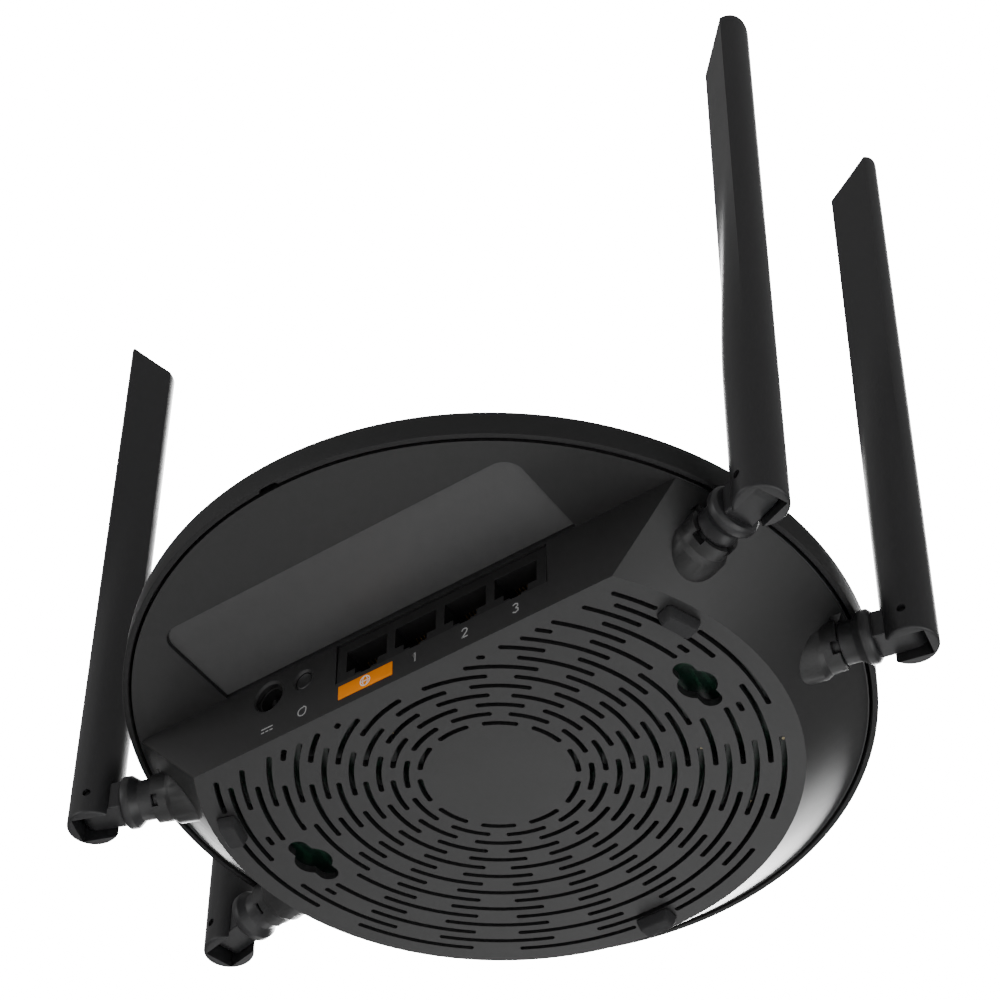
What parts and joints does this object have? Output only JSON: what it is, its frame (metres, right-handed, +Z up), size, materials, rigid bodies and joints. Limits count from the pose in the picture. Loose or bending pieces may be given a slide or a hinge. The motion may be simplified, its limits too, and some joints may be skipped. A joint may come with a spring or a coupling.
{
  "type": "wireless_router",
  "caption": "Round black wireless router with a vented base, wall-hanging keyholes, ports under a rear overhang and swivelling, folding antennas",
  "frame": {"origin": "Middle of the underside of the box: on the housing's axis, on the table that the feet stand on", "axes": "+Z up out of the top cover, +Y out of the rear wall where the ports are, +X to the right when seen from the front"},
  "size_m": [0.2107, 0.1794, 0.1799],
  "materials": {
    "shell_plastic": "fine matte charcoal moulding",
    "cover_plastic": "matte black moulding",
    "antenna_plastic": "satin black moulding",
    "foot_rubber": "soft black rubber",
    "label_film": "satin grey film",
    "port_marking": "orange printed film",
    "screw_steel": "zinc plated",
    "clear_plastic": "clear light guide",
    "board_laminate": "green solder mask",
    "jack_plastic": "black connector resin",
    "shield_steel": "tin plated sheet",
    "contact_gold": "gold plated",
    "button_plastic": "dark grey",
    "chip_resin": "moulded package",
    "sink_aluminium": "anodised fins",
    "can_aluminium": "sleeved can",
    "led_resin": "pale diffuser",
    "lead_sheath": "thin cable jacket"
  },
  "bodies": {
    "housing": {"bottom_shell": "shell_plastic", "top_cover": "cover_plastic", "feet": "foot_rubber", "rating_label": "label_film", "wan_label": "port_marking", "housing_screws": "screw_steel", "light_pipe": "clear_plastic", "main_board": "board_laminate", "board_screws": "screw_steel", "lan_jack_housing": "jack_plastic", "lan_jack_shield": "shield_steel", "lan_contacts": "contact_gold", "dc_jack": "jack_plastic", "dc_pin": "shield_steel", "reset_switch": "jack_plastic", "processor": "chip_resin", "heat_sink": "sink_aluminium", "rf_shields": "shield_steel", "memory_chips": "chip_resin", "lan_transformers": "chip_resin", "capacitors": "can_aluminium", "inductors": "chip_resin", "crystal": "shield_steel", "status_leds": "led_resin", "antenna_sockets": "contact_gold", "antenna_leads": "lead_sheath"},
    "reset_button_body": {"reset_button": "button_plastic"},
    "swivel_body_rr": {"swivel_rr": "antenna_plastic", "hinge_pins_rr": "screw_steel"},
    "blade_body_rr": {"blade_rr": "antenna_plastic", "aerial_rr": "board_laminate"},
    "swivel_body_rf": {"swivel_rf": "antenna_plastic", "hinge_pins_rf": "screw_steel"},
    "blade_body_rf": {"blade_rf": "antenna_plastic", "aerial_rf": "board_laminate"},
    "swivel_body_lr": {"swivel_lr": "antenna_plastic", "hinge_pins_lr": "screw_steel"},
    "blade_body_lr": {"blade_lr": "antenna_plastic", "aerial_lr": "board_laminate"},
    "swivel_body_lf": {"swivel_lf": "antenna_plastic", "hinge_pins_lf": "screw_steel"},
    "blade_body_lf": {"blade_lf": "antenna_plastic", "aerial_lf": "board_laminate"}
  },
  "joints": [
    {"name": "swivel_rr", "type": "hinge", "parent": "housing", "child": "swivel_body_rr", "pos_m": [0.07481, 0.02834, 0.01375], "axis": [-0.9351, -0.3543, 0], "range_deg": [-5, 90]},
    {"name": "fold_rr", "type": "hinge", "parent": "swivel_body_rr", "child": "blade_body_rr", "pos_m": [0.09464, 0.03585, 0.01375], "axis": [-0.3543, 0.9351, 0], "range_deg": [0, 90]},
    {"name": "swivel_rf", "type": "hinge", "parent": "housing", "child": "swivel_body_rf", "pos_m": [0.07822, -0.01677, 0.01375], "axis": [0.9778, -0.2096, 0], "range_deg": [-5, 90]},
    {"name": "fold_rf", "type": "hinge", "parent": "swivel_body_rf", "child": "blade_body_rf", "pos_m": [0.09895, -0.02121, 0.01375], "axis": [0.2096, 0.9778, 0], "range_deg": [0, 90]},
    {"name": "swivel_lr", "type": "hinge", "parent": "housing", "child": "swivel_body_lr", "pos_m": [-0.07481, 0.02834, 0.01375], "axis": [-0.9351, 0.3543, 0], "range_deg": [-5, 90]},
    {"name": "fold_lr", "type": "hinge", "parent": "swivel_body_lr", "child": "blade_body_lr", "pos_m": [-0.09464, 0.03585, 0.01375], "axis": [-0.3543, -0.9351, 0], "range_deg": [0, 90]},
    {"name": "swivel_lf", "type": "hinge", "parent": "housing", "child": "swivel_body_lf", "pos_m": [-0.07822, -0.01677, 0.01375], "axis": [0.9778, 0.2096, 0], "range_deg": [-5, 90]},
    {"name": "fold_lf", "type": "hinge", "parent": "swivel_body_lf", "child": "blade_body_lf", "pos_m": [-0.09895, -0.02121, 0.01375], "axis": [0.2096, -0.9778, 0], "range_deg": [0, 90]},
    {"name": "reset_press", "type": "slide", "parent": "housing", "child": "reset_button_body", "axis": [0, -1, 0], "range_m": [0, 0.0008], "stiffness_N_per_m": 800}
  ]
}
